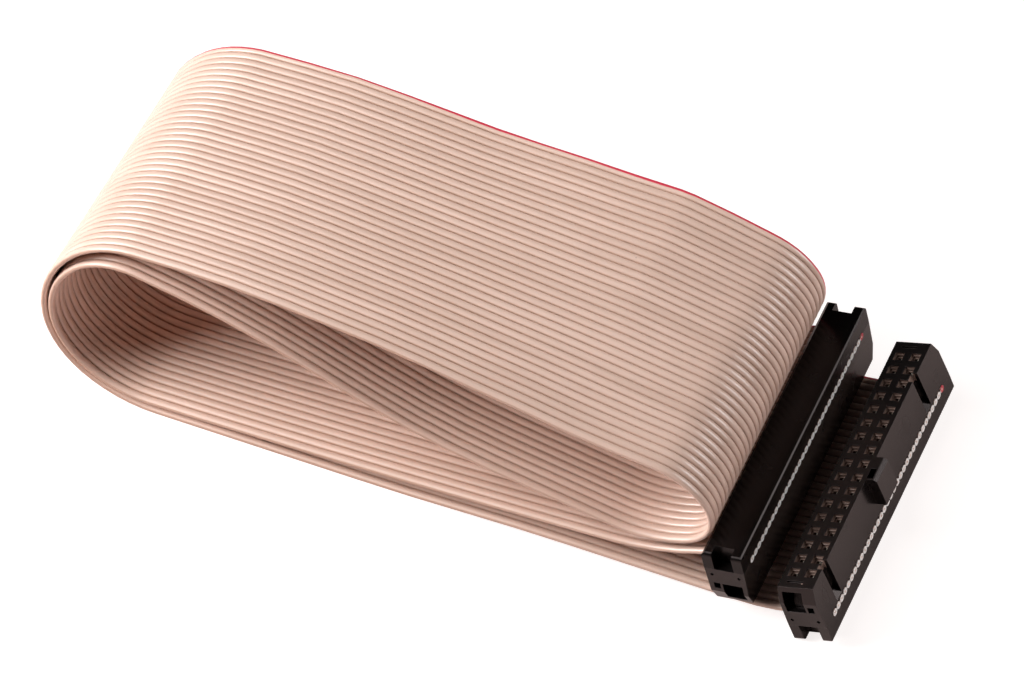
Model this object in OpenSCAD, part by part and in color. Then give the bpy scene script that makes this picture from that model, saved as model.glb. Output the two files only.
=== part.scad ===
// Flat ribbon cable with an insulation displacement socket on each end.
// The ribbon lies folded back over itself, resting on its lower run and on socket B.
// X runs along the ribbon, Y across it (conductor 1 at +Y), Z is up. Units are mm.

/* [Ribbon] */
// Number of conductors, two for each pair of contacts
ways = 34; // [10:2:40]
// Distance from one conductor to the next
rib_pitch = 1.27; // [1.27:0.01:1.3]
// Thickness of the ribbon over its ribs
ribbon_t = 0.9; // [0.8:0.02:1]
// Width of one rib
rib_w = 0.86; // [0.7:0.02:0.96]
// Thickness of the web that joins two ribs
web_t = 0.3; // [0.2:0.05:0.4]
// Diameter of one bare conductor
copper_d = 0.38; // [0.3:0.01:0.4]

/* [Route] */
// Radius of the last bend before socket B
tail_bend_r = 25; // [22:0.5:27]
// Turn of that bend, which tilts socket B
tail_bend = 20; // [18:0.5:22]
// Length of the flat run between the two sockets' ends
tail_flat = 24.8; // [20:0.1:30]

/* [Socket] */
// Distance between contacts along a row
contact_pitch = 2.54; // [2.54:0.01:2.6]
// Distance between the two rows of contacts
row_gap = 2.54; // [2.54:0.01:2.6]
// Width of the socket at the ribbon
socket_w = 5.9; // [5.6:0.05:6.4]
// Width of the mating face
face_w = 5.4; // [5.2:0.05:5.6]
// Length of socket beyond the outer edges of the ribbon, at each end
end_block = 2.36; // [2.2:0.02:3]
// Height of the body, from the middle of the ribbon to the mating face
body_h = 6.95; // [6.6:0.05:7.4]
// Height of the cover, from the middle of the ribbon to its back
cover_h = 3.05; // [2.8:0.05:3.4]
// How much the ends of the body lean in at the mating face
end_lean = 0.9; // [0.6:0.1:1.2]
// Height of the leaning part of the ends
end_lean_h = 2.35; // [1.5:0.05:2.8]
// Bevel along the edges of the back of the cover
cover_bevel = 0.2; // [0.1:0.05:0.3]
// How far the cut end of the ribbon stands out of the socket
cut_end = 0.06; // [0.02:0.02:0.2]
// Play round each rib in the seats of the body and cover
seat_play = 0.03; // [0.01:0.01:0.06]

/* [Mouths] */
// Side of the outer step of a mouth
mouth_w = 1.5; // [1.3:0.05:1.6]
// Depth of the outer step of a mouth
mouth_depth = 0.45; // [0.3:0.05:0.6]
// Side of the inner step of a mouth
throat_w = 1.24; // [1.1:0.02:1.3]
// Depth of the inner step of a mouth
throat_depth = 0.4; // [0.3:0.05:0.6]
// Side of the square hole for the pin
neck_w = 0.9; // [0.8:0.02:1]

/* [Contacts] */
// Thickness of the contact strip
contact_t = 0.28; // [0.2:0.02:0.34]
// Width of the slot that grips the conductor
grip_slot = 0.4; // [0.4:0.01:0.44]
// Width of one tine of the fork
tine_w = 0.35; // [0.25:0.01:0.4]
// How far the tines reach past the middle of the ribbon
tine_reach = 0.95; // [0.7:0.05:1.2]
// Size of the cavity round a contact, across the rows
cavity_w = 1; // [0.8:0.05:1.2]
// Play round a contact where it passes the ribbon and cover
contact_play = 0.02; // [0.01:0.01:0.06]

/* [Key and grooves] */
// Width of the key on the side of the body
key_w = 4.2; // [4:0.1:4.6]
// How far the key stands out of the mating face edge
key_out = 1.6; // [1:0.1:1.8]
// Height of the key, down from the mating face
key_h = 4.95; // [4:0.05:5.5]
// Position of the key from the middle of the socket
key_y = -0.7; // [-1:0.1:1]
// Width of the side grooves
groove_w = 1.7; // [1.4:0.1:2]
// Depth of the side grooves
groove_depth = 1.1; // [0.8:0.1:1.3]
// Position of the groove near contact 1
groove_1_y = 16.5; // [15:0.1:19]
// Position of the groove at the other end
groove_2_y = -18.6; // [-19:0.1:-15]

/* [Latches] */
// Width of a latch arm of the cover
arm_w = 2; // [1.6:0.1:2.2]
// Thickness of a latch arm
arm_t = 0.6; // [0.5:0.05:0.7]
// Play round a latch arm
arm_play = 0.1; // [0.05:0.05:0.15]
// How far the hook stands out of its arm
hook_out = 0.6; // [0.4:0.05:0.8]
// Width of the notch in the ends of the cover
notch_w = 2.9; // [2.4:0.1:3.2]
// Depth of the notch in the ends of the cover
notch_depth = 1.65; // [1.4:0.05:1.7]

/* [Hidden] */
$fn = 24;

// Ribbon, derived
ribbon_w = ways * rib_pitch;
pairs = ways / 2;

// Socket, derived
half_l = ribbon_w / 2 + end_block;
cavity_side = 0.72;
cavity_l = 2 * cavity_side + rib_pitch / 2 - 0.11;
cavity_top = body_h - 1;
ledge_z = 0.62;
window_z = 2.85;
window_top = 6.2;
arm_y = ribbon_w / 2 + 0.11;
arm_x = -0.35;
arm_top = 4.7;
tine_slot_l = grip_slot + 2 * tine_w + 2 * contact_play;

// Each run of a route is [radius, turn in degrees] for a bend, left turns positive,
// or [length, 0] for a straight. Only a level run may be straight: a ribbon that is
// free to spring always keeps a slight bend. Both routes start on the table under the
// fold, the coil towards socket A and the tail towards socket B.
start_x = -12;
coil_route = [
    // up the outer fold
    [31, 0], [17.25, -40], [14.5, -46], [18.5, -50], [14.25, -41],
    // top run and the tight bend down on the right
    [142, -9], [2385, -1], [30, -4], [660, -1], [11, -44], [7, -98], [17, -36],
    // second run, back to the left
    [1040, -1], [92, -12], [545, -1], [119, 13],
    // inner fold, nested in the outer one
    [10.25, 57], [15.5, 50], [13.75, 45], [14, 40],
    // inner bottom run, then up into socket A
    [1060, 1], [1475, 2], [34, 23], [7, -15.5]
];

// The ribbon inside a socket is almost straight.
clamp_turn = 0.5;
clamp_r = round_to(0.5 * (socket_w + cut_end) / sin(clamp_turn / 2), 0.01);
clamp_run = [clamp_r, clamp_turn];

// The ramp lifts the tail so that the lowest corner of socket B meets the table.
ramp_turn = 3;
tilt_b = tail_bend + clamp_turn / 2;
lowest_z = cover_h * cos(tilt_b) + (socket_w / 2 - cover_bevel) * sin(tilt_b);
flat_z = lowest_z - socket_w / 2 * sin(tilt_b) - tail_bend_r * (1 - cos(tail_bend));
ramp_r = round_to((flat_z - ribbon_t / 2) / 2 / (1 - cos(ramp_turn)), 0.01);
tail_route = [
    [ramp_r, ramp_turn], [ramp_r, -ramp_turn], [tail_flat, 0], [tail_bend_r, tail_bend]
];

// ---------------------------------------------------------------- route

function round_to(value, step) = round(value / step) * step;

// Centre of the bend that starts at pose p.
function bend_centre(p, run) =
    [p[0], p[1]] + sign(run[1]) * run[0] * [-sin(p[2]), cos(p[2])];

// Pose [x, y, heading] at the end of a run that starts at pose p.
function after_run(p, run) =
    run[1] == 0
        ? [p[0] + run[0] * cos(p[2]), p[1] + run[0] * sin(p[2]), p[2]]
        : let (
              out = p[2] + run[1],
              end = bend_centre(p, run) + sign(run[1]) * run[0] * [sin(out), -cos(out)]
          )
          [end[0], end[1], out];

// Pose at the start of run n of a route, or at its end.
function pose_at(start, route, n) =
    n == 0 ? start : after_run(pose_at(start, route, n - 1), route[n - 1]);

coil_start = [start_x, ribbon_t / 2, 180];
tail_start = [start_x, ribbon_t / 2, 0];
coil_end = pose_at(coil_start, coil_route, len(coil_route));
tail_end = pose_at(tail_start, tail_route, len(tail_route));

// Moves to point p in a coarse and a fine step, so that runs meet exactly.
module exactly_at(p) {
    coarse = [round_to(p[0], 0.01), round_to(p[1], 0.01)];
    translate(coarse)
        translate([p[0] - coarse[0], p[1] - coarse[1]])
            children();
}

// Sweeps a 2D section (thickness, width) along the run that starts at pose p.
module sweep_run(p, run) {
    if (run[1] == 0) {
        exactly_at(p)
            rotate(p[2])
                rotate([90, 0, 90])
                    linear_extrude(run[0])
                        children();
    } else {
        first_angle = run[1] > 0 ? p[2] - 90 : p[2] + 90 + run[1];
        exactly_at(bend_centre(p, run))
            rotate_extrude(angle = abs(run[1]), start = first_angle, $fn = 72)
                translate([run[0], 0])
                    children();
    }
}

// Sweeps a 2D section along a whole route.
module sweep_route(start, route) {
    for (n = [0:len(route) - 1])
        sweep_run(pose_at(start, route, n), route[n])
            children();
}

// Sweeps a 2D section along the whole ribbon, out to both cut ends.
module sweep_ribbon() {
    stand_up() {
        sweep_route(coil_start, coil_route)
            children();
        sweep_route(tail_start, tail_route)
            children();
        sweep_run(coil_end, clamp_run)
            children();
        sweep_run(tail_end, clamp_run)
            children();
    }
}

// Stands the route, drawn in the XY plane, upright across the table.
module stand_up() {
    rotate([90, 0, 0])
        children();
}

// Moves a socket to the end of the coil or the tail, clamped on the ribbon.
module clamp_at(pose, flip) {
    translate([pose[0], 0, pose[1]])
        rotate([0, -pose[2] - clamp_turn / 2, 0])
            translate([socket_w / 2, 0, 0])
                rotate([0, flip, 0])
                    children();
}

// ---------------------------------------------------------------- ribbon

function rib_y(k) = ((ways + 1) / 2 - k) * rib_pitch;

// Flat-crested ribs joined by a thin web, with some play all round.
module ribbon_outline(play = 0) {
    web = web_t / 2 + play;
    crest = ribbon_t / 2 + play;
    half_rib = rib_w / 2 + play;
    upper_side = [
        for (k = [1:ways])
            let (y = -rib_y(k))
            each [[web, y - half_rib], [crest, y - half_rib],
                [crest, y + half_rib], [web, y + half_rib]]
    ];
    lower_side = [
        for (n = [len(upper_side) - 1:-1:0])
            [-upper_side[n][0], upper_side[n][1]]
    ];
    polygon(concat(upper_side, lower_side));
}

// Slots that the tines of a socket cut through the ribbon.
module tine_slots(pose, flip) {
    clamp_at(pose, flip)
        for (row = [-1, 1])
            at_contacts(row)
                translate([0, row * rib_pitch / 2, 0])
                    cube([contact_t + 2 * contact_play, tine_slot_l, 2 * ribbon_t], center = true);
}

module ribbon_jacket() {
    color([0.86, 0.78, 0.72])
        difference() {
            sweep_ribbon()
                ribbon_outline();
            tine_slots(coil_end, 180);
            tine_slots(tail_end, 0);
        }
}

// Conductor k, held tight in its rib.
module conductor(k) {
    color([0.78, 0.45, 0.32])
        sweep_ribbon()
            translate([0, -rib_y(k)])
                circle(d = copper_d);
}

// ---------------------------------------------------------------- socket
// A socket is drawn with the middle of its ribbon at the origin, mating face up,
// key on +X. Row 1 (odd contacts) is on the key side, row -1 holds the even ones.

module at_contacts(row) {
    for (n = [0:pairs - 1])
        translate([row * row_gap / 2, ((pairs - 1) / 2 - n) * contact_pitch, 0])
            children();
}

// Extrudes a section drawn in (y, z) along X, centred.
module across(width) {
    rotate([90, 0, 90])
        linear_extrude(width, center = true)
            children();
}

// Extrudes a section drawn in (x, z) along Y, centred.
module along(length) {
    rotate([90, 0, 0])
        linear_extrude(length, center = true)
            children();
}

// Repeats a part at both ends of a socket.
module both_ends() {
    children();
    mirror([0, 1, 0])
        children();
}

// Ribbed tunnel that the ribbon leaves in the body and in the cover.
module ribbon_seat() {
    across(socket_w + 2)
        rotate(90)
            ribbon_outline(seat_play);
}

module body_block() {
    top_l = half_l - end_lean;
    side_z = body_h - end_lean_h;
    intersection() {
        along(2 * half_l)
            polygon([
                [-socket_w / 2, 0], [socket_w / 2, 0],
                [face_w / 2, body_h], [-face_w / 2, body_h]
            ]);
        across(socket_w)
            polygon([
                [-half_l, 0], [half_l, 0], [half_l, side_z],
                [top_l, body_h], [-top_l, body_h], [-half_l, side_z]
            ]);
    }
}

// Key: a block on the side with a pocket in its top.
module key_block() {
    translate([0, key_y, 0])
        along(key_w)
            polygon([
                [1, body_h - key_h], [face_w / 2 + key_out + 0.1, body_h - key_h],
                [face_w / 2 + key_out, body_h - 0.5], [face_w / 2 + key_out - 0.5, body_h],
                [1, body_h]
            ]);
}

module key_pocket() {
    translate([face_w / 2, key_y - key_w / 2 + 0.3, body_h - 2])
        cube([0.95, 1.8, 3]);
}

module side_groove(y) {
    edge = socket_w / 2;
    translate([0, y, 0])
        along(groove_w)
            polygon([
                [edge - groove_depth, ledge_z + groove_depth], [edge, ledge_z],
                [edge + 1, ledge_z], [edge + 1, body_h + 1], [edge - groove_depth, body_h + 1]
            ]);
}

// Stepped square mouth, pin hole and the cavity behind them.
module mouth_and_cavity(row) {
    cube_on_axis(mouth_w, mouth_w, body_h - mouth_depth, body_h + 1);
    cube_on_axis(throat_w, throat_w, body_h - mouth_depth - throat_depth, body_h);
    cube_on_axis(neck_w, neck_w, cavity_top - 0.5, body_h);
    translate([0, row * (cavity_l / 2 - cavity_side), 0])
        cube_on_axis(cavity_w, cavity_l, -1, cavity_top);
}

// Box centred on the Z axis, from height z0 to z1.
module cube_on_axis(x, y, z0, z1) {
    translate([-x / 2, -y / 2, z0])
        cube([x, y, z1 - z0]);
}

// Window, latch shaft and small marks in one end of the body.
module end_openings() {
    wall_y = arm_y - arm_play;
    translate([-2.15, wall_y, window_z])
        cube([2.95, 4, window_top - window_z]);
    translate([1.15, half_l - 1.4, window_z])
        cube([0.95, 4, 1.1]);
    translate([arm_x - arm_w / 2 - arm_play, wall_y, -1])
        cube([arm_w + 2 * arm_play, arm_t + 2 * arm_play, window_z + 2]);
    translate([-1.6, half_l - end_lean - 1.15, body_h - 0.3])
        cube([2.5, 0.35, 1]);
    for (x = [-2.3, 1.7])
        translate([x, half_l - 0.3, 1.15])
            rotate([0, 45, 0])
                cube([0.45, 1, 0.45]);
}

module socket_body() {
    difference() {
        union() {
            body_block();
            key_block();
        }
        key_pocket();
        side_groove(groove_1_y);
        side_groove(groove_2_y);
        for (row = [-1, 1])
            at_contacts(row)
                mouth_and_cavity(row);
        both_ends()
            end_openings();
        ribbon_seat();
    }
}

// Cover back: bevelled along its edges and rounded at its ends.
module cover_block() {
    key_bevel = 0.5;
    end_r = 0.6;
    half_w = socket_w / 2;
    intersection() {
        along(2 * half_l)
            polygon([
                [-half_w, 0], [half_w, 0], [half_w, key_bevel - cover_h],
                [half_w - key_bevel, -cover_h], [cover_bevel - half_w, -cover_h],
                [-half_w, cover_bevel - cover_h]
            ]);
        across(socket_w) {
            translate([-half_l, end_r - cover_h])
                square([2 * half_l, cover_h - end_r]);
            translate([end_r - half_l, -cover_h])
                square([2 * (half_l - end_r), cover_h]);
            for (side = [-1, 1])
                translate([side * (half_l - end_r), end_r - cover_h])
                    circle(r = end_r);
        }
    }
}

// Latch arm with its hook, in the (y, z) plane, for the +Y end.
module latch_arm() {
    translate([arm_x, 0, 0])
        across(arm_w)
            polygon([
                [arm_y, -1], [arm_y + arm_t, -1], [arm_y + arm_t, window_z + arm_play],
                [arm_y + arm_t + hook_out, window_z + arm_play],
                [arm_y + arm_t + hook_out, window_z + arm_play + 0.4],
                [arm_y + 0.3, arm_top], [arm_y, arm_top]
            ]);
}

// Pocket in the cover for the tips of one fork.
module tine_pocket(row) {
    tip_play = 0.15;
    translate([0, row * rib_pitch / 2, 0])
        cube_on_axis(
            contact_t + 2 * tip_play, tine_slot_l + 0.06, -tine_reach - tip_play, 1
        );
}

module socket_cover() {
    difference() {
        union() {
            cover_block();
            both_ends()
                latch_arm();
        }
        ribbon_seat();
        for (row = [-1, 1])
            at_contacts(row)
                tine_pocket(row);
        both_ends()
            translate([-notch_w / 2, half_l - notch_depth, -cover_h - 1])
                cube([notch_w, notch_depth + 1, cover_h + 1]);
    }
}

// Fork contact in the (y, z) plane: two spring leaves above, two tines below.
module contact_shape() {
    fork_w = grip_slot + 2 * tine_w;
    base_z = 1.7;
    leaf_gap = 0.46;
    leaf_w = 0.3;
    difference() {
        union() {
            translate([-cavity_side, base_z])
                square([cavity_l, 0.9]);
            for (side = [-1, 1])
                translate([side * (leaf_gap + leaf_w) / 2 - leaf_w / 2, base_z])
                    square([leaf_w, cavity_top - 0.1 - base_z]);
            translate([(rib_pitch - fork_w) / 2, -tine_reach])
                square([fork_w, tine_reach + base_z + 0.1]);
        }
        translate([(rib_pitch - grip_slot) / 2, -tine_reach - 1])
            square([grip_slot, tine_reach + 1.9]);
        translate([rib_pitch / 2, 0.9])
            circle(d = grip_slot);
        translate([rib_pitch / 2, -tine_reach])
            rotate(45)
                square(0.46, center = true);
    }
}

module socket_contacts(row) {
    at_contacts(row)
        mirror([0, row < 0 ? 1 : 0, 0])
            across(contact_t)
                contact_shape();
}

// ---------------------------------------------------------------- sub-parts

black = [0.07, 0.065, 0.065];
tinned = [0.78, 0.74, 0.62];

module connector_a_body() color(black) clamp_at(coil_end, 180) socket_body();
module connector_a_cover() color(black) clamp_at(coil_end, 180) socket_cover();
module connector_a_contacts_odd() color(tinned) clamp_at(coil_end, 180) socket_contacts(1);
module connector_a_contacts_even() color(tinned) clamp_at(coil_end, 180) socket_contacts(-1);
module connector_b_body() color(black) clamp_at(tail_end, 0) socket_body();
module connector_b_cover() color(black) clamp_at(tail_end, 0) socket_cover();
module connector_b_contacts_odd() color(tinned) clamp_at(tail_end, 0) socket_contacts(1);
module connector_b_contacts_even() color(tinned) clamp_at(tail_end, 0) socket_contacts(-1);

ribbon_jacket();
for (k = [1:ways])
    conductor(k);
connector_a_body();
connector_a_cover();
connector_a_contacts_odd();
connector_a_contacts_even();
connector_b_body();
connector_b_cover();
connector_b_contacts_odd();
connector_b_contacts_even();
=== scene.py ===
"""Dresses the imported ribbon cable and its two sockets, and sets the studio round them."""

import logging
import math
from dataclasses import dataclass, field
from enum import Enum
from typing import ClassVar, Dict, Iterable, List, Optional, Sequence, Tuple

import bpy
from mathutils import Matrix, Vector

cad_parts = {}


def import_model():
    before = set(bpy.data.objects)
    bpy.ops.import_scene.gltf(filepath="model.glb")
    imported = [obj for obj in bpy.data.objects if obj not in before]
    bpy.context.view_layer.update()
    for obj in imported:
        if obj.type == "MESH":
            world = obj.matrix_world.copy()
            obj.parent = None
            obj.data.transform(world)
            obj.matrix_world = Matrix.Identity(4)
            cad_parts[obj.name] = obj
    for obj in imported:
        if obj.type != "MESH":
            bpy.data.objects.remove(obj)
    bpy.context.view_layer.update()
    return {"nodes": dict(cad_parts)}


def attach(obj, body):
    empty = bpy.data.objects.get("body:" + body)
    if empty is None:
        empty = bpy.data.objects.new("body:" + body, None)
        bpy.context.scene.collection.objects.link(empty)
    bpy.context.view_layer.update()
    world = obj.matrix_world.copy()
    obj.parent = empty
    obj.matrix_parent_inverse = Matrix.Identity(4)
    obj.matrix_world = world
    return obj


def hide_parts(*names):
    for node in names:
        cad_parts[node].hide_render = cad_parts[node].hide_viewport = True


LOG = logging.getLogger("ribbon_cable")
MM = 0.001

Colour = Tuple[float, float, float]
Point = Tuple[float, float, float]
Row = Tuple[float, float, float]
Run = Tuple[float, float]
Span = Tuple[float, float]
NodeSocket = bpy.types.NodeSocket
Sockets = bpy.types.bpy_prop_collection

NUMBER = "NodeSocketFloat"
VECTOR = "NodeSocketVector"


class Side(Enum):
    """The two sockets of the cable, by the names of their nodes."""

    A = "connector_a"
    B = "connector_b"


def bearing(azimuth: float, elevation: float) -> Vector:
    """Finds the direction from the cable towards a lamp or camera.

    Args:
        azimuth: degrees round the cable, 0 in front of it and 90 at +X.
        elevation: degrees above the table.

    Returns:
        The direction, of length 1.
    """
    turn, rise = math.radians(azimuth), math.radians(elevation)
    return Vector(
        (math.sin(turn) * math.cos(rise), -math.cos(turn) * math.cos(rise), math.sin(rise))
    )


def link(name: str, data: bpy.types.ID) -> bpy.types.Object:
    """Makes an object and puts it in the scene.

    Args:
        name: the object's name.
        data: its mesh, lamp or camera.

    Returns:
        The new object.
    """
    made = bpy.data.objects.new(name, data)
    bpy.context.collection.objects.link(made)
    return made


# ------------------------------------------------------------------ shader nodes


class Graph:
    """Short calls for adding nodes to one node tree."""

    def __init__(self, tree: bpy.types.NodeTree) -> None:
        """Starts with an empty tree."""
        self.tree = tree
        tree.nodes.clear()

    def add(self, kind: str, **settings: object) -> bpy.types.Node:
        """Adds a node.

        Args:
            kind: the node's type name, without its ShaderNode prefix.
            settings: attributes to set on the node.

        Returns:
            The new node.
        """
        prefix = "" if kind.startswith("NodeGroup") else "ShaderNode"
        node = self.tree.nodes.new(prefix + kind)
        for name, value in settings.items():
            setattr(node, name, value)
        return node

    def put(self, socket: NodeSocket, value: object) -> None:
        """Links a socket to an output, or sets its constant.

        Args:
            socket: the input to feed.
            value: another node's output, a number, or a colour of three numbers.
        """
        if isinstance(value, bpy.types.NodeSocket):
            self.tree.links.new(value, socket)
        elif isinstance(value, tuple) and len(value) == 3 and socket.type == "RGBA":
            socket.default_value = (*value, 1.0)
        else:
            socket.default_value = value

    def math(self, operation: str, *values: object, clamp: bool = False) -> NodeSocket:
        """Adds a Math node.

        Args:
            operation: the name of the operation.
            values: its inputs, numbers or outputs of other nodes.
            clamp: whether to keep the result between 0 and 1.

        Returns:
            The node's output.
        """
        node = self.add("Math", operation=operation, use_clamp=clamp)
        for socket, value in zip(node.inputs, values):
            self.put(socket, value)
        return node.outputs[0]

    def step(self, value: NodeSocket, low: object, high: object) -> NodeSocket:
        """Maps a span of values to 0..1 with smooth ends.

        Args:
            value: the output to map.
            low: the value that gives 0, a number or an output.
            high: the value that gives 1, a number or an output.

        Returns:
            The node's output.
        """
        node = self.add("MapRange", interpolation_type="SMOOTHSTEP")
        for label, given in (("Value", value), ("From Min", low), ("From Max", high)):
            self.put(node.inputs[label], given)
        return node.outputs["Result"]

    def mix(self, share: object, first: object, second: object) -> NodeSocket:
        """Mixes two colours.

        Args:
            share: how much of the second, 0 to 1.
            first: a colour or an output.
            second: a colour or an output.

        Returns:
            The mixed colour.
        """
        node = self.add("Mix", data_type="RGBA")
        self.put(node.inputs["Factor"], share)
        self.put(node.inputs["A"], first)
        self.put(node.inputs["B"], second)
        return node.outputs["Result"]

    def here(self) -> NodeSocket:
        """Gives the point's place in the object, in metres."""
        return self.add("TexCoord").outputs["Object"]

    def normal(self) -> NodeSocket:
        """Gives the surface's own normal."""
        return self.add("NewGeometry").outputs["Normal"]

    def axes(self, vector: NodeSocket) -> Sockets:
        """Splits a vector along the axes.

        Args:
            vector: the output to split.

        Returns:
            The outputs X, Y and Z, by name.
        """
        node = self.add("SeparateXYZ")
        self.put(node.inputs[0], vector)
        return node.outputs

    def switch(self, share: NodeSocket, first: NodeSocket, second: NodeSocket) -> NodeSocket:
        """Mixes two shaders.

        Args:
            share: how much of the second, 0 to 1.
            first: a shader's output.
            second: a shader's output.

        Returns:
            The mixed shader.
        """
        node = self.add("MixShader")
        for socket, value in zip(node.inputs, (share, first, second)):
            self.put(socket, value)
        return node.outputs[0]


class Effect:
    """A shader node group, built once and placed in each finish that uses it."""

    name: ClassVar[str]
    inputs: ClassVar[Dict[str, str]]
    outputs: ClassVar[Dict[str, str]]

    @classmethod
    def fill(cls, g: Graph, start: Sockets, end: Sockets) -> None:
        """Draws the nodes of the group.

        Args:
            g: the group's graph.
            start: the values that come in, by name.
            end: the sockets that take the results, by name.
        """
        raise NotImplementedError(cls.name)

    @classmethod
    def tree(cls) -> bpy.types.NodeTree:
        """Finds the group's tree, or builds it the first time.

        Returns:
            The tree.
        """
        if cls.name not in bpy.data.node_groups:
            tree = bpy.data.node_groups.new(cls.name, "ShaderNodeTree")
            g = Graph(tree)
            for in_out, sockets in (("INPUT", cls.inputs), ("OUTPUT", cls.outputs)):
                for label, kind in sockets.items():
                    tree.interface.new_socket(label, in_out=in_out, socket_type=kind)
            cls.fill(g, g.add("NodeGroupInput").outputs, g.add("NodeGroupOutput").inputs)
        return bpy.data.node_groups[cls.name]

    @classmethod
    def place(cls, g: Graph, **values: object) -> Sockets:
        """Places the group in a graph.

        Args:
            g: the graph of a finish or of another group.
            values: the group's inputs, by name.

        Returns:
            The group's outputs, by name.
        """
        node = g.add("Group")
        node.node_tree = cls.tree()
        for label, value in values.items():
            g.put(node.inputs[label], value)
        return node.outputs


class Patches(Effect):
    """Soft-edged patches: where a noise climbs from Low to High."""

    name = "Patches"
    inputs = {"Place": VECTOR, "Scale": NUMBER, "Detail": NUMBER, "Low": NUMBER, "High": NUMBER}
    outputs = {"Mask": NUMBER}

    @classmethod
    def fill(cls, g: Graph, start: Sockets, end: Sockets) -> None:
        """Draws the nodes of the group.

        Args:
            g: the group's graph.
            start: the values that come in, by name.
            end: the sockets that take the results, by name.
        """
        noise = g.add("TexNoise")
        for source, target in (("Place", "Vector"), ("Scale", "Scale"), ("Detail", "Detail")):
            g.put(noise.inputs[target], start[source])
        g.put(end["Mask"], g.step(noise.outputs["Fac"], start["Low"], start["High"]))


class Grain(Effect):
    """Fine relief: a normal that a noise roughens."""

    name = "Grain"
    inputs = {
        "Place": VECTOR,
        "Normal": VECTOR,
        "Scale": NUMBER,
        "Strength": NUMBER,
        "Depth": NUMBER,
    }
    outputs = {"Normal": VECTOR}

    @classmethod
    def fill(cls, g: Graph, start: Sockets, end: Sockets) -> None:
        """Draws the nodes of the group.

        Args:
            g: the group's graph.
            start: the values that come in, by name.
            end: the sockets that take the results, by name.
        """
        noise, bump = g.add("TexNoise"), g.add("Bump")
        g.put(noise.inputs["Vector"], start["Place"])
        g.put(noise.inputs["Scale"], start["Scale"])
        g.put(bump.inputs["Height"], noise.outputs["Fac"])
        g.put(bump.inputs["Distance"], start["Depth"])
        for label in ("Strength", "Normal"):
            g.put(bump.inputs[label], start[label])
        g.put(end["Normal"], bump.outputs["Normal"])


class Dust(Effect):
    """Scattered pale specks and faint smears, as two masks."""

    name = "Dust"
    inputs = {"Place": VECTOR, "Spacing": NUMBER, "Size": NUMBER, "Share": NUMBER}
    outputs = {"Specks": NUMBER, "Smears": NUMBER}

    @classmethod
    def fill(cls, g: Graph, start: Sockets, end: Sockets) -> None:
        """Draws the nodes of the group.

        Args:
            g: the group's graph.
            start: the values that come in, by name.
            end: the sockets that take the results, by name.
        """
        cells = g.add("TexVoronoi")
        g.put(cells.inputs["Vector"], start["Place"])
        g.put(cells.inputs["Scale"], g.math("DIVIDE", 1.0, start["Spacing"]))
        near = g.math("LESS_THAN", cells.outputs["Distance"], start["Size"])
        pick = g.add("SeparateColor")
        g.put(pick.inputs["Color"], cells.outputs["Color"])
        some = g.math("LESS_THAN", pick.outputs["Red"], start["Share"])
        g.put(end["Specks"], g.math("MULTIPLY", near, some))
        smears = Patches.place(g, Place=start["Place"], Scale=220.0, Detail=4.0, Low=0.5, High=0.75)
        g.put(end["Smears"], smears["Mask"])


class WornEdge(Effect):
    """A mask of the edges, from how far a rounded normal leaves the flat one."""

    name = "Worn edge"
    inputs = {"Place": VECTOR, "Rounded": VECTOR, "Reach": NUMBER}
    outputs = {"Edge": NUMBER}

    @classmethod
    def fill(cls, g: Graph, start: Sockets, end: Sockets) -> None:
        """Draws the nodes of the group.

        Args:
            g: the group's graph.
            start: the values that come in, by name.
            end: the sockets that take the results, by name.
        """
        dot = g.add("VectorMath", operation="DOT_PRODUCT")
        g.put(dot.inputs[0], start["Rounded"])
        g.put(dot.inputs[1], g.add("NewGeometry").outputs["True Normal"])
        bent = g.math("SUBTRACT", 1.0, dot.outputs["Value"])
        edge = g.math("DIVIDE", bent, start["Reach"], clamp=True)
        uneven = Patches.place(g, Place=start["Place"], Scale=900.0, Detail=2.0, Low=0.3, High=0.6)
        g.put(end["Edge"], g.math("MULTIPLY", edge, uneven["Mask"]))


def new_material(name: str) -> Tuple[bpy.types.Material, Graph, bpy.types.Node]:
    """Makes a material with an output and a Principled shader.

    Args:
        name: the material's name.

    Returns:
        The material, its graph and its shader.
    """
    material = bpy.data.materials.new(name)
    material.use_nodes = True
    graph = Graph(material.node_tree)
    shader = graph.add("BsdfPrincipled")
    end = graph.add("OutputMaterial")
    graph.put(end.inputs["Surface"], shader.outputs["BSDF"])
    return material, graph, shader


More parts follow.
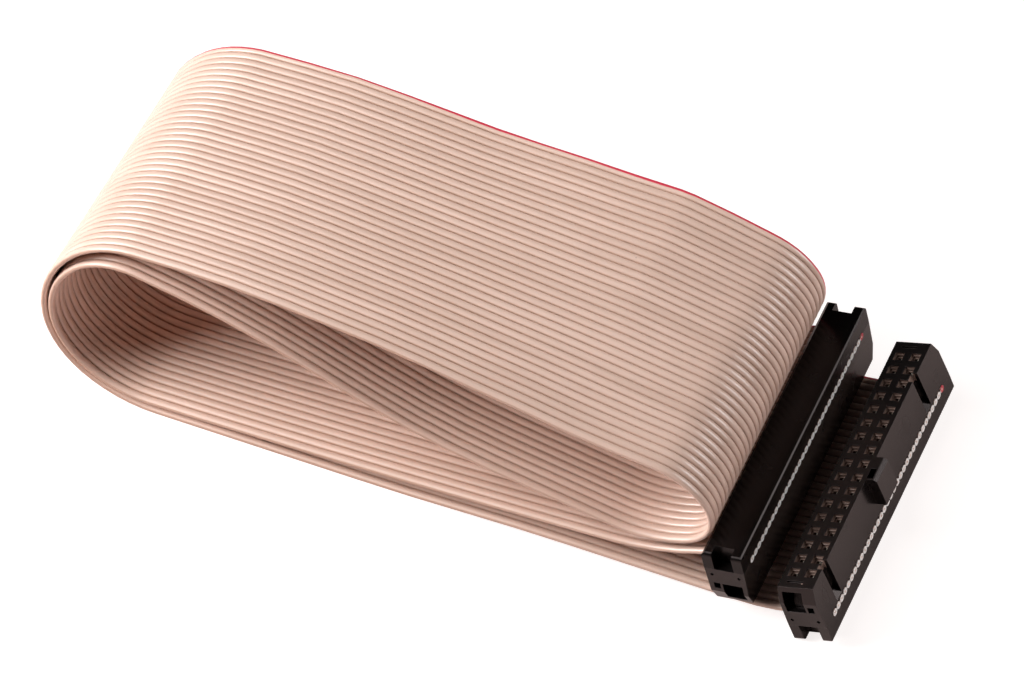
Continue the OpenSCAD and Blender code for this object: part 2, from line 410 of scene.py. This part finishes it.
@dataclass(frozen=True)
class InsulationFinish:
    """Satin grey PVC of the ribbon, with the dyed edge of conductor 1.

    The plain colour is streaked along the ribs, and the webs between them are painted
    darker as painted shade for the grooves, lighter towards the sockets at +X.
    which is paler towards the sockets.
    """

    base: Colour = (0.70, 0.495, 0.405)
    faded: Colour = (0.78, 0.56, 0.465)
    # painted shade for the grooves between the ribs, and its lighter form towards +X
    painted_groove_shade: Colour = (0.45, 0.27, 0.19)
    light_painted_groove_shade: Colour = (0.60, 0.42, 0.34)
    speck: Colour = (0.35, 0.25, 0.2)
    stripe: Colour = (0.72, 0.05, 0.09)
    stripe_from: float = 20.9 * MM
    stripe_blur: float = 0.12 * MM
    stripe_wander: float = 0.4 * MM
    pitch: float = 1.27 * MM
    gap_edge: Span = (0.03 * MM, 0.2 * MM)
    less_shade_along: Span = (-10 * MM, 60 * MM)
    stretch: Tuple[float, float, float] = (0.08, 1.0, 0.08)
    roughness: float = 0.3
    specular: float = 0.8

    def _plain(self, g: Graph, where: NodeSocket, along: NodeSocket) -> NodeSocket:
        """Colours the undyed ribs and the painted shade in the webs between them.

        Args:
            g: the material's graph.
            where: the point's place.
            along: the same place, stretched along the ribs.

        Returns:
            The colour.
        """
        axes = g.axes(where)
        streaks = Patches.place(g, Place=along, Scale=420.0, Detail=2.0, Low=0.35, High=0.7)
        ribs = g.mix(streaks["Mask"], self.base, self.faded)
        # painted shade: the webs near the grooves are darkened, less so towards +X
        from_gap = g.math("PINGPONG", axes["Y"], self.pitch / 2)
        less_shade = g.step(axes["X"], *self.less_shade_along)
        shaded_gaps = g.mix(less_shade, self.painted_groove_shade, self.light_painted_groove_shade)
        return g.mix(g.step(from_gap, *self.gap_edge), shaded_gaps, ribs)

    def _dyed(self, g: Graph, where: NodeSocket) -> NodeSocket:
        """Finds the dyed edge, whose border wanders a little.

        Args:
            g: the material's graph.
            where: the point's place.

        Returns:
            A mask, 1 on the dye.
        """
        noise = g.add("TexNoise")
        g.put(noise.inputs["Vector"], where)
        g.put(noise.inputs["Scale"], 60.0)
        drift = g.math("SUBTRACT", noise.outputs["Fac"], 0.5)
        across = g.math("ADD", g.axes(where)["Y"], g.math("MULTIPLY", drift, self.stripe_wander))
        return g.step(across, self.stripe_from, self.stripe_from + self.stripe_blur)

    def material(self) -> bpy.types.Material:
        """Builds the material.

        Returns:
            The new material.
        """
        made, g, shader = new_material("Ribbon insulation")
        where = g.here()
        stretched = g.add("Mapping")
        g.put(stretched.inputs["Vector"], where)
        g.put(stretched.inputs["Scale"], self.stretch)
        along = stretched.outputs["Vector"]
        colour = g.mix(self._dyed(g, where), self._plain(g, where, along), self.stripe)
        dust = Dust.place(g, Place=where, Spacing=3.5 * MM, Size=0.03, Share=0.12)
        specks = g.math("MULTIPLY", dust["Specks"], 0.5)
        rough = g.math("MULTIPLY", dust["Smears"], 0.12)
        relief = {"Scale": 2600.0, "Strength": 0.12, "Depth": 0.03 * MM}
        grain = Grain.place(g, Place=along, Normal=g.normal(), **relief)
        g.put(shader.inputs["Base Color"], g.mix(specks, colour, self.speck))
        g.put(shader.inputs["Roughness"], g.math("ADD", rough, self.roughness))
        g.put(shader.inputs["Normal"], grain["Normal"])
        shader.inputs["IOR"].default_value = 1.5
        shader.inputs["Specular IOR Level"].default_value = self.specular
        shader.inputs["Subsurface Weight"].default_value = 0.03
        shader.inputs["Subsurface Scale"].default_value = 0.2 * MM
        shader.inputs["Subsurface Radius"].default_value = (1.0, 0.6, 0.4)
        return made


@dataclass(frozen=True)
class CutFinish:
    """Slightly torn PVC of the sheared ends, painted pale, near white, as painted light for the
    strong light they catch.
    """

    # painted light: near white, lighter than the jacket, for the light on the cut ends
    base: Colour = (0.95, 0.93, 0.91)
    torn: Colour = (0.80, 0.72, 0.68)
    stripe: Colour = (0.56, 0.035, 0.06)
    stripe_from: float = 20.5 * MM
    roughness: float = 0.4

    def material(self) -> bpy.types.Material:
        """Builds the material.

        Returns:
            The new material.
        """
        made, g, shader = new_material("Cut insulation")
        where = g.here()
        torn = Patches.place(g, Place=where, Scale=3000.0, Detail=4.0, Low=0.45, High=0.7)
        plain = g.mix(torn["Mask"], self.base, self.torn)
        dyed = g.math("GREATER_THAN", g.axes(where)["Y"], self.stripe_from)
        relief = {"Scale": 4000.0, "Strength": 0.3, "Depth": 0.02 * MM}
        grain = Grain.place(g, Place=where, Normal=g.normal(), **relief)
        g.put(shader.inputs["Base Color"], g.mix(dyed, plain, self.stripe))
        g.put(shader.inputs["Normal"], grain["Normal"])
        shader.inputs["Roughness"].default_value = self.roughness
        return made


@dataclass(frozen=True)
class Mouths:
    """The rows of contact mouths in a dull mating face, with walls painted paler as painted light
    for the light falling on them.
    """

    face: Point
    axis: Point
    half_width: float = 2.2 * MM
    half_length: float = 21.4 * MM
    lip: float = 0.12 * MM
    depth: float = 1.5 * MM
    face_roughness: float = 0.36
    # painted light: the walls inside the mouths take this paler colour for the light they catch
    pale: Colour = (0.2, 0.135, 0.11)

    def masks(self, g: Graph) -> Tuple[NodeSocket, NodeSocket]:
        """Finds the points on the face and those inside the mouths.

        Args:
            g: the material's graph.

        Returns:
            Two masks, 1 on the face and 1 on the walls inside the mouths.
        """
        from_face = g.add("VectorMath", operation="SUBTRACT")
        g.put(from_face.inputs[0], g.here())
        g.put(from_face.inputs[1], self.face)
        away = from_face.outputs["Vector"]
        rise = g.add("VectorMath", operation="DOT_PRODUCT")
        aside = g.add("VectorMath", operation="DOT_PRODUCT")
        for node, line in ((rise, self.axis), (aside, (self.axis[2], 0.0, -self.axis[0]))):
            g.put(node.inputs[0], away)
            g.put(node.inputs[1], line)
        deep = g.math("MULTIPLY", rise.outputs["Value"], -1.0)
        walls = g.math("GREATER_THAN", deep, self.lip)
        for place, limit in (
            (deep, self.depth),
            (g.math("ABSOLUTE", aside.outputs["Value"]), self.half_width),
            (g.math("ABSOLUTE", g.axes(away)["Y"]), self.half_length),
        ):
            walls = g.math("MULTIPLY", walls, g.math("LESS_THAN", place, limit))
        return g.math("LESS_THAN", g.math("ABSOLUTE", deep), self.lip), walls


@dataclass(frozen=True)
class MouldedFinish:
    """Black moulded plastic with soft edges, fine grain and a little dust."""

    name: str
    base: Colour = (0.0025, 0.002, 0.002)
    worn: Colour = (0.05, 0.04, 0.037)
    speck: Colour = (0.45, 0.30, 0.25)
    sheen: Colour = (1.0, 0.84, 0.82)
    roughness: float = 0.22
    edge_radius: float = 0.06 * MM
    edge_wear: float = 0.5
    speck_share: float = 0.1
    specular: float = 0.5
    mouths: Optional[Mouths] = None

    def material(self) -> bpy.types.Material:
        """Builds the material.

        Returns:
            The new material.
        """
        made, g, shader = new_material(self.name)
        where = g.here()
        bevel = g.add("Bevel", samples=4)
        g.put(bevel.inputs["Radius"], self.edge_radius)
        rounded = bevel.outputs["Normal"]
        edge = WornEdge.place(g, Place=where, Rounded=rounded, Reach=0.06)
        dust = Dust.place(g, Place=where, Spacing=4.5 * MM, Size=0.028, Share=self.speck_share)
        wear = g.math("MULTIPLY", edge["Edge"], self.edge_wear)
        colour = g.mix(wear, self.base, self.worn)
        rough = g.math("ADD", g.math("MULTIPLY", dust["Smears"], 0.1), self.roughness)
        if self.mouths is not None:
            face, walls = self.mouths.masks(g)
            # painted light on the walls inside the mouths
            colour = g.mix(walls, colour, self.mouths.pale)
            rough = g.math("MAXIMUM", rough, g.math("MULTIPLY", face, self.mouths.face_roughness))
        relief = {"Scale": 5000.0, "Strength": 0.1, "Depth": 0.02 * MM}
        grain = Grain.place(g, Place=where, Normal=rounded, **relief)
        g.put(shader.inputs["Base Color"], g.mix(dust["Specks"], colour, self.speck))
        g.put(shader.inputs["Roughness"], rough)
        g.put(shader.inputs["Normal"], grain["Normal"])
        shader.inputs["IOR"].default_value = 1.5
        shader.inputs["Specular IOR Level"].default_value = self.specular
        g.put(shader.inputs["Specular Tint"], self.sheen)
        return made


@dataclass(frozen=True)
class MetalFinish:
    """Drawn or stamped metal with a fine grain and slight tarnish."""

    name: str
    base: Colour
    tarnish: Colour
    roughness: float = 0.3

    def material(self) -> bpy.types.Material:
        """Builds the material.

        Returns:
            The new material.
        """
        made, g, shader = new_material(self.name)
        where = g.here()
        dull = Patches.place(g, Place=where, Scale=500.0, Detail=4.0, Low=0.4, High=0.7)["Mask"]
        rough = g.math("MULTIPLY", dull, 0.2)
        relief = {"Scale": 6000.0, "Strength": 0.1, "Depth": 0.01 * MM}
        grain = Grain.place(g, Place=where, Normal=g.normal(), **relief)
        g.put(shader.inputs["Base Color"], g.mix(dull, self.base, self.tarnish))
        g.put(shader.inputs["Roughness"], g.math("ADD", rough, self.roughness))
        g.put(shader.inputs["Normal"], grain["Normal"])
        shader.inputs["Metallic"].default_value = 1.0
        return made


# ------------------------------------------------------------------ ribbon


@dataclass
class Station:
    """One place along the ribbon: its middle, heading and length so far, in mm."""

    x: float
    z: float
    heading: float
    along: float

    def ahead(self, run: Run, share: float) -> "Station":
        """Finds the station part of the way along a run.

        Args:
            run: radius and turn in degrees, or length and 0.
            share: how much of the run to follow, 0 to 1.

        Returns:
            The new station.
        """
        size, turn = run
        angle = math.radians(self.heading)
        if turn == 0:
            reach = size * share
            return Station(
                self.x + reach * math.cos(angle),
                self.z + reach * math.sin(angle),
                self.heading,
                self.along + reach,
            )
        side = math.copysign(size, turn)
        out = angle + math.radians(turn) * share
        return Station(
            self.x + side * (math.sin(out) - math.sin(angle)),
            self.z + side * (math.cos(angle) - math.cos(out)),
            self.heading + turn * share,
            self.along + abs(math.radians(turn)) * size * share,
        )


@dataclass
class Ribbon:
    """The ribbon's own sizes and the two routes it follows, in mm and degrees.

    Each run of a route is (radius, turn) for a bend, left turns positive, or
    (length, 0) for a straight. Both routes start on the table under the fold: the
    coil goes towards socket A and the tail towards socket B.

    The edge at conductor 1 lies a little off the plain route, by rows of (length,
    x, z). In lean the other edge goes the other way, and in sink it stays in place.
    """

    ways: int = 34
    pitch: float = 1.27
    thickness: float = 0.9
    web: float = 0.12
    groove: float = 0.1
    rib_points: int = 9
    core: float = 0.38
    core_points: int = 6
    core_proud: float = 0.01
    bend_step: float = 7.5
    length_step: float = 8.0
    start: Tuple[float, float] = (-12.0, 0.45)
    coil: Sequence[Run] = (
        (31, 0), (17.25, -40), (14.5, -46), (18.5, -50), (14.25, -41),
        (142, -9), (2385, -1), (30, -4), (660, -1), (11, -44), (7, -98), (17, -36),
        (1040, -1), (92, -12), (545, -1), (119, 13),
        (10.25, 57), (15.5, 50), (13.75, 45), (14, 40),
        (1060, 1), (1475, 2), (34, 23), (7, -15.5),
    )
    ramp_turn: float = 3.0
    tail_flat: float = 24.8
    tail_bend: Run = (25.0, 20.0)
    clamp_turn: float = 0.5
    socket_w: float = 5.9
    cut_end: float = 0.06
    body_h: float = 6.95
    cover_h: float = 3.05
    cover_bevel: float = 0.2
    lean: Sequence[Row] = (
        (0, 0, 0), (40, 0, 0), (60, 0, -0.3), (80, 0, -0.95), (100, 0, -1.0),
        (115, 0, -0.8), (125, 0, -0.25), (135, 0, 0.75), (145, 0, 1.65), (150, 0, 1.8),
        (155, 0, 1.25), (160, 0, 1.0), (168, 0, 1.0), (180, 0, 0.3), (200, 0, 0),
    )
    sink: Sequence[Row] = (
        (35, 0, 0), (55, 0.2, -0.55), (70, 0.5, -1.0), (85, 0.25, -0.45), (100, 0, 0),
        (225, 0, 0), (258, 0.3, -1.7), (272, 0.6, -1.9), (288, 0.3, -0.9), (308, 0, 0),
    )

    @property
    def clamp(self) -> Run:
        """The almost straight run inside a socket, as (radius, turn)."""
        half = math.sin(math.radians(self.clamp_turn / 2))
        return (0.5 * (self.socket_w + self.cut_end) / half, self.clamp_turn)

    @property
    def tail(self) -> List[Run]:
        """The runs from the start to socket B.

        The ramp lifts the tail so that the lowest corner of the socket meets the table.

        Returns:
            The runs: up the ramp, level off, go straight, and bend up to the socket.
        """
        radius, turn = self.tail_bend
        tilt = math.radians(turn + self.clamp_turn / 2)
        half = self.socket_w / 2
        lowest = self.cover_h * math.cos(tilt) + (half - self.cover_bevel) * math.sin(tilt)
        flat = lowest - half * math.sin(tilt) - radius * (1 - math.cos(math.radians(turn)))
        ramp = (flat - self.thickness / 2) / 2 / (1 - math.cos(math.radians(self.ramp_turn)))
        return [
            (ramp, self.ramp_turn),
            (ramp, -self.ramp_turn),
            (self.tail_flat, 0),
            self.tail_bend,
        ]

    def _follow(self, heading: float, runs: Iterable[Run]) -> List[Station]:
        """Lists stations along some runs, close enough for smooth bends.

        Args:
            heading: the heading at the start, in degrees.
            runs: the runs to follow.

        Returns:
            The stations, with the start first.
        """
        x, z = self.start
        made = [Station(x, z, heading, 0.0)]
        for run in runs:
            size, turn = run
            length = size if turn == 0 else abs(math.radians(turn)) * size
            steps = max(
                1, math.ceil(abs(turn) / self.bend_step), math.ceil(length / self.length_step)
            )
            here = made[-1]
            made += [here.ahead(run, n / steps) for n in range(1, steps + 1)]
        return made

    def stations(self) -> List[Station]:
        """Lists every station of the ribbon.

        Returns:
            The stations, from the cut end in socket A to the one in socket B.
        """
        coil = self._follow(180.0, [*self.coil, self.clamp])
        tail = self._follow(0.0, [*self.tail, self.clamp])
        back = [Station(s.x, s.z, s.heading - 180.0, -s.along) for s in reversed(coil)]
        return back + tail[1:]

    def mating_face(self) -> Tuple[Point, Point]:
        """Finds the mating face of socket B, above the middle of its clamp.

        Returns:
            The middle of the face and the direction it looks in, in metres.
        """
        middle = self._follow(0.0, self.tail)[-1].ahead(self.clamp, 0.5)
        angle = math.radians(middle.heading)
        axis = (-math.sin(angle), 0.0, math.cos(angle))
        x = (middle.x + self.body_h * axis[0]) * MM
        z = (middle.z + self.body_h * axis[2]) * MM
        return (x, 0.0, z), axis

    @staticmethod
    def _between(table: Sequence[Row], here: float) -> Tuple[float, float]:
        """Reads a table smoothly between its rows.

        Args:
            table: rows of (length, x, z).
            here: the length to read at.

        Returns:
            The x and z there, 0 outside the rows.
        """
        for low, high in zip(table, table[1:]):
            if low[0] <= here <= high[0]:
                share = (here - low[0]) / (high[0] - low[0])
                ease = share * share * (3 - 2 * share)
                x, z = (low[n] + (high[n] - low[n]) * ease for n in (1, 2))
                return (x, z)
        return (0.0, 0.0)

    def leaning(self, along: float, share: float) -> Tuple[float, float]:
        """Finds how far a point of the ribbon leaves its plain route.

        Args:
            along: the station's length, less than 0 on the coil's side.
            share: the place across, -1 at the last conductor's edge, 1 at conductor 1's.

        Returns:
            The move along X and along Z, in mm.
        """
        lean_x, lean_z = self._between(self.lean, -along)
        sink_x, sink_z = self._between(self.sink, -along)
        half = (share + 1) / 2
        return (lean_x * share + sink_x * half, lean_z * share + sink_z * half)

    @property
    def half_width(self) -> float:
        """Half the ribbon's width."""
        return self.ways * self.pitch / 2

    def rib_y(self, way: int) -> float:
        """Finds how far across the ribbon a conductor lies, with conductor 1 at +Y."""
        return ((self.ways + 1) / 2 - way) * self.pitch

    def section(self) -> List[Tuple[float, float]]:
        """Draws the section: rounded ribs joined by the web.

        Returns:
            The closed outline, as (across, up) in mm.
        """
        half = (self.pitch - self.groove) / 2
        low, high = self.web / 2, self.thickness / 2
        last = self.rib_points - 1
        profile = [
            (self.rib_y(way) + half * math.cos(turn), low + (high - low) * math.sin(turn))
            for way in range(1, self.ways + 1)
            for turn in (math.pi * n / last for n in range(self.rib_points))
        ]
        return profile + [(y, -up) for y, up in reversed(profile)]

    def place(self, station: Station, across: float, up: float) -> Point:
        """Finds a point of the ribbon in the part's frame.

        Args:
            station: the place along the ribbon.
            across: distance from the middle towards conductor 1, in mm.
            up: distance from the middle layer, in mm.

        Returns:
            The point, in metres.
        """
        angle = math.radians(station.heading)
        move_x, move_z = self.leaning(station.along, across / self.half_width)
        x = station.x - up * math.sin(angle) + move_x
        z = station.z + up * math.cos(angle) + move_z
        return (x * MM, across * MM, z * MM)


def sweep(
    name: str,
    ribbon: Ribbon,
    stations: Sequence[Station],
    outline: Sequence[Tuple[float, float]],
    creases: Sequence[int] = (),
) -> bpy.types.Object:
    """Sweeps a closed outline along the ribbon and closes both ends.

    Args:
        name: the new object's name.
        ribbon: the ribbon it follows.
        stations: the places along it.
        outline: points of the section, as (across, up) in mm.
        creases: outline points whose long edges stay sharp.

    Returns:
        The new object.
    """
    points = [ribbon.place(s, y, up) for s in stations for y, up in outline]
    count, rings = len(outline), len(stations)
    faces = [
        (
            n * count + k,
            n * count + (k + 1) % count,
            (n + 1) * count + (k + 1) % count,
            (n + 1) * count + k,
        )
        for n in range(rings - 1)
        for k in range(count)
    ]
    faces.append(tuple(range(count - 1, -1, -1)))
    faces.append(tuple((rings - 1) * count + k for k in range(count)))
    mesh = bpy.data.meshes.new(name)
    mesh.from_pydata(points, [], faces)
    caps = 2
    mesh.polygons.foreach_set("use_smooth", [True] * (len(faces) - caps) + [False] * caps)
    sharp = set(creases)
    if sharp:
        for edge in mesh.edges:
            a, b = (vertex % count for vertex in edge.vertices)
            if a == b and a in sharp:
                edge.use_edge_sharp = True
    mesh.update()
    return link(name, mesh)


@dataclass
class RibbonAssembly:
    """The ribbon and its conductors, built over the plain solids."""

    ribbon: Ribbon = field(default_factory=Ribbon)
    insulation: InsulationFinish = field(default_factory=InsulationFinish)
    cut: CutFinish = field(default_factory=CutFinish)
    copper: MetalFinish = MetalFinish("Tinned copper", (0.90, 0.80, 0.74), (0.70, 0.52, 0.42))

    def build_jacket(self, stations: Sequence[Station]) -> bpy.types.Object:
        """Builds the ribbed ribbon, with its cut ends in a finish of their own.

        Args:
            stations: the places along it.

        Returns:
            The new piece.
        """
        outline = self.ribbon.section()
        last = self.ribbon.rib_points - 1
        creases = [k for k in range(len(outline)) if k % (last + 1) in (0, last)]
        made = sweep("ribbon", self.ribbon, stations, outline, creases)
        made.data.materials.append(self.insulation.material())
        made.data.materials.append(self.cut.material())
        for cap in made.data.polygons[-2:]:
            cap.material_index = 1
        return made

    def build_cores(self, stations: Sequence[Station]) -> bpy.types.Object:
        """Builds all the conductors as one piece of separate wires.

        Args:
            stations: the places along the ribbon.

        Returns:
            The new piece.
        """
        ribbon = self.ribbon
        radius, points = ribbon.core / 2, ribbon.core_points
        proud = (ribbon.core_proud, 0.0)
        ends = [stations[0].ahead(proud, -1.0), *stations[1:-1], stations[-1].ahead(proud, 1.0)]
        wires = []
        for way in range(1, ribbon.ways + 1):
            middle = ribbon.rib_y(way)
            circle = [
                (middle + radius * math.cos(turn), radius * math.sin(turn))
                for turn in (math.tau * n / points for n in range(points))
            ]
            wires.append(sweep(f"wire_{way:02d}", ribbon, ends, circle))
        with bpy.context.temp_override(
            active_object=wires[0], selected_editable_objects=wires, object=wires[0]
        ):
            bpy.ops.object.join()
        made = wires[0]
        made.name = "conductors"
        made.data.materials.append(self.copper.material())
        return made

    def build(self) -> List[bpy.types.Object]:
        """Returns:
            The new pieces.
        """
        ribbon = self.ribbon
        stations = ribbon.stations()
        jacket = self.build_jacket(stations)
        cores = self.build_cores(stations)
        nodes = [f"conductor_{way:02d}" for way in range(1, ribbon.ways + 1)]
        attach(jacket, "root")
        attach(cores, "root")
        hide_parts("ribbon_jacket")
        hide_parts(*nodes)
        return [jacket, cores]


# ------------------------------------------------------------------ sockets


@dataclass
class SocketAssembly:
    """One socket: the finishes of its body, cover and two rows of contacts."""

    side: Side
    body: MouldedFinish
    cover: MouldedFinish
    contact: MetalFinish

    def dress(self, nodes: Dict[str, bpy.types.Object]) -> List[str]:
        """Gives the socket's solids their finishes.

        Args:
            nodes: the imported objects, by node name.

        Returns:
            The names of the pieces dressed.
        """
        finishes = {
            "body": self.body.material(),
            "cover": self.cover.material(),
            "contacts_odd": self.contact.material(),
        }
        finishes["contacts_even"] = finishes["contacts_odd"]
        names = []
        for part, material in finishes.items():
            name = f"{self.side.value}_{part}"
            piece = nodes[name]
            for place in piece.material_slots:
                place.material = material
            names.append(name)
        return names


# ------------------------------------------------------------------ studio


@dataclass
class Softbox:
    """A square area lamp that looks at the cable, in degrees, metres and watts."""

    name: str
    azimuth: float
    elevation: float
    distance: float
    size: float
    power: float

    def build(self, aim: Vector) -> bpy.types.Object:
        """Hangs the lamp.

        Args:
            aim: the point it looks at.

        Returns:
            The lamp.
        """
        lamp = bpy.data.lights.new(self.name, "AREA")
        lamp.shape = "SQUARE"
        lamp.size = self.size
        lamp.energy = self.power
        made = link(self.name, lamp)
        back = bearing(self.azimuth, self.elevation)
        made.location = aim + back * self.distance
        made.rotation_mode = "QUATERNION"
        made.rotation_quaternion = (-back).to_track_quat("-Z", "Y")
        return made


@dataclass
class Studio:
    """Camera, floor, lamps and world, in degrees and metres."""

    azimuth: float = 23.54
    elevation: float = 50.87
    roll: float = -1.0
    distance: float = 0.83457
    lens_mm: float = 210.94
    target: Point = (0.0025, 0.0, 0.01301)
    floor_half: float = 3.0
    paper: Colour = (0.93, 0.76, 0.72)
    seen_paper: Colour = (0.4, 0.4, 0.4)
    seen_glow: Colour = (1.0, 0.95, 0.935)
    glow_strength: float = 0.84
    horizon: Colour = (0.12, 0.10, 0.095)
    overhead: Colour = (0.02, 0.017, 0.017)
    horizon_to_overhead: Span = (0.02, 0.22)
    lamps: Sequence[Softbox] = (
        Softbox("low key", -64, 31, 0.6, 0.3, 4.3),
        Softbox("high key", -70, 60, 0.6, 0.3, 1.3),
        Softbox("back lamp", 118, 29, 0.6, 0.3, 1.7),
    )

    def build_camera(self) -> None:
        """Sets the camera at its angle, with its small roll."""
        turn, roll = math.radians(self.azimuth), math.radians(self.roll)
        back = bearing(self.azimuth, self.elevation)
        right = Vector((math.cos(turn), math.sin(turn), 0.0))
        up = back.cross(right)
        x_axis = right * math.cos(roll) + up * math.sin(roll)
        y_axis = up * math.cos(roll) - right * math.sin(roll)
        data = bpy.data.cameras.new("camera")
        data.lens = self.lens_mm
        data.clip_start, data.clip_end = 0.01, 20.0
        made = link("camera", data)
        made.location = Vector(self.target) + back * self.distance
        made.rotation_mode = "QUATERNION"
        made.rotation_quaternion = Matrix((x_axis, y_axis, back)).transposed().to_quaternion()
        bpy.context.scene.camera = made

    def floor_material(self) -> bpy.types.Material:
        """Builds the floor's finish: white to the camera, with the cable's shadow.

        Returns:
            The new material.
        """
        made = bpy.data.materials.new("Floor paper")
        made.use_nodes = True
        g = Graph(made.node_tree)
        end = g.add("OutputMaterial")
        paper, seen, glow = g.add("BsdfDiffuse"), g.add("BsdfDiffuse"), g.add("Emission")
        g.put(paper.inputs["Color"], self.paper)
        g.put(seen.inputs["Color"], self.seen_paper)
        g.put(glow.inputs["Color"], self.seen_glow)
        g.put(glow.inputs["Strength"], self.glow_strength)
        both = g.add("AddShader")
        g.put(both.inputs[0], seen.outputs[0])
        g.put(both.inputs[1], glow.outputs[0])
        rays = g.add("LightPath").outputs
        shown = g.math("MAXIMUM", rays["Is Camera Ray"], rays["Is Transmission Ray"])
        g.put(end.inputs["Surface"], g.switch(shown, paper.outputs[0], both.outputs[0]))
        return made

    def build_floor(self) -> None:
        """Lays a wide plain floor under the cable."""
        half = self.floor_half
        sheet = [(-half, -half, 0), (half, -half, 0), (half, half, 0), (-half, half, 0)]
        mesh = bpy.data.meshes.new("floor")
        mesh.from_pydata(sheet, [], [(0, 1, 2, 3)])
        mesh.update()
        made = link("floor", mesh)
        made.data.materials.append(self.floor_material())

    def build_world(self) -> None:
        """Lights the world: white to the camera, dim overhead, pale at the horizon."""
        world = bpy.data.worlds.new("studio")
        world.use_nodes = True
        bpy.context.scene.world = world
        g = Graph(world.node_tree)
        end = g.add("OutputWorld")
        up = g.axes(g.add("TexCoord").outputs["Generated"])["Z"]
        high = g.step(up, *self.horizon_to_overhead)
        room, white = g.add("Background"), g.add("Background")
        g.put(room.inputs["Color"], g.mix(high, self.horizon, self.overhead))
        seen = g.add("LightPath").outputs["Is Camera Ray"]
        g.put(end.inputs["Surface"], g.switch(seen, room.outputs[0], white.outputs[0]))

    def build(self) -> None:
        """Builds the whole studio."""
        self.build_camera()
        self.build_floor()
        self.build_world()
        for lamp in self.lamps:
            lamp.build(Vector(self.target))
        bpy.context.scene.view_settings.view_transform = "Standard"


def build_sockets(nodes: Dict[str, bpy.types.Object], mouths: Mouths) -> None:
    """Dresses both sockets.

    Args:
        nodes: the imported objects, by node name.
        mouths: the open mouths of socket B, the one with its mating face up.
    """
    tinned = MetalFinish("Tinned bronze", (0.72, 0.68, 0.60), (0.42, 0.36, 0.28), 0.28)
    bodies = {
        Side.A: MouldedFinish("Black body A", specular=0.4),
        Side.B: MouldedFinish("Black body B", specular=0.42, mouths=mouths),
    }
    covers = {
        Side.A: MouldedFinish("Black cover A", specular=0.2),
        Side.B: MouldedFinish("Black cover B", specular=0.42),
    }
    for side in Side:
        socket = SocketAssembly(side, bodies[side], covers[side], tinned)
        for name in socket.dress(nodes):
            LOG.info("%s: dressed", name)


def main() -> None:
    """Builds the cable, dresses its sockets and sets the studio."""
    logging.basicConfig(level=logging.INFO, format="%(message)s")
    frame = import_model()
    Studio().build()
    LOG.info("studio: camera, floor and lamps")
    cable = RibbonAssembly()
    for piece in cable.build():
        LOG.info("%s: %d faces", piece.name, len(piece.data.polygons))
    build_sockets(frame["nodes"], Mouths(*cable.ribbon.mating_face()))


if __name__ == "__main__":
    main()
